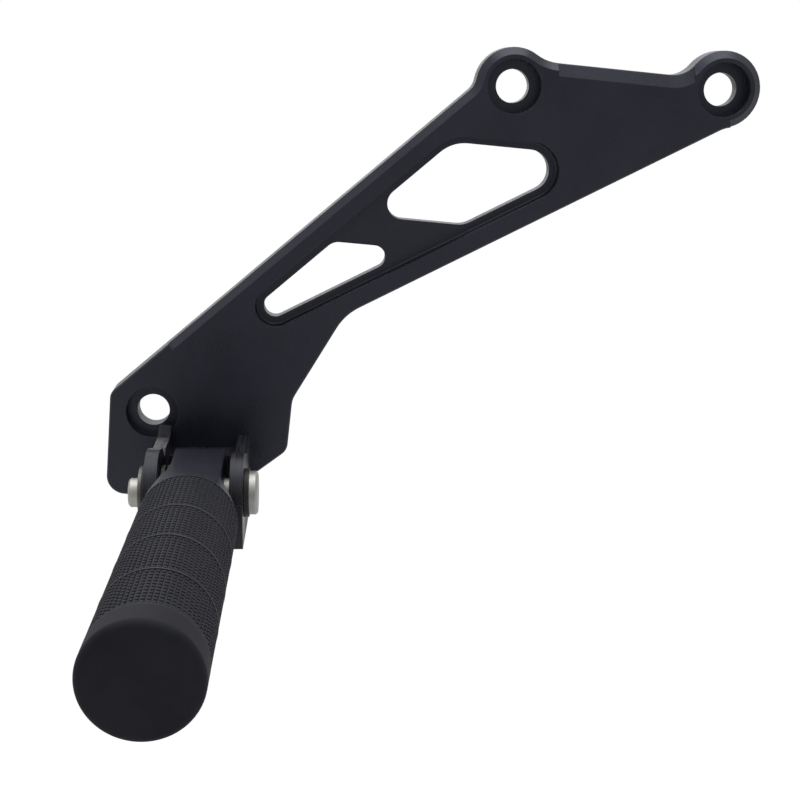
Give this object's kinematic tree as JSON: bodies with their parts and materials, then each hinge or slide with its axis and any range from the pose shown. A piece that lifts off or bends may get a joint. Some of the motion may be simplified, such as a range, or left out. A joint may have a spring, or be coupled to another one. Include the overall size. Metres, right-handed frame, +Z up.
{
  "type": "folding foot peg bracket",
  "caption": "Folding round foot peg with a ribbed rubber grip, hinged by a clevis pin on a machined bracket plate with bolt holes and lightening windows.",
  "frame": {"origin": "axis of the foot bolt hole, in the plate's back face", "axes": "+X along the hinge pin towards the lug end, +Y out of the plate's back face into the vehicle, +Z up; the peg points along -Y"},
  "size_m": [0.2096, 0.1733, 0.1495],
  "materials": {
    "black_anodised": "satin black anodised, machined",
    "black_anodised_clevis": "satin black anodised, milled",
    "black_anodised_core": "satin black anodised, turned and milled",
    "black_oxide_steel": "black oxide",
    "stainless": "turned stainless steel",
    "washer_steel": "zinc plated steel",
    "bronze": "sintered bronze",
    "black_plastic": "matte nylon",
    "black_rubber": "matte, fine square pads",
    "cap_rubber": "matte, smooth"
  },
  "bodies": {
    "bracket": {"hanger_plate": "black_anodised", "clevis": "black_anodised_clevis", "clevis_screws": "black_oxide_steel", "disc_spring": "black_oxide_steel", "thrust_washer_ear": "black_plastic"},
    "pin": {"pivot_pin": "stainless", "pin_clip": "stainless", "clip_washer": "black_plastic", "head_washer": "black_plastic"},
    "peg": {"peg_core": "black_anodised_core", "peg_bush_left": "bronze", "peg_bush_right": "bronze", "thrust_washer_tongue": "black_plastic", "rubber_sleeve": "black_rubber", "retaining_washer": "washer_steel", "retaining_screw": "black_oxide_steel", "end_cap": "cap_rubber"}
  },
  "joints": [
    {"name": "peg_fold", "type": "hinge", "parent": "bracket", "child": "peg", "pos_m": [0.017, -0.0415, -0.0172], "axis": [-1, 0, 0], "range_deg": [0, 90]},
    {"name": "pin_spin", "type": "hinge", "parent": "bracket", "child": "pin", "pos_m": [0.017, -0.0415, -0.0172], "axis": [1, 0, 0], "continuous": true}
  ]
}
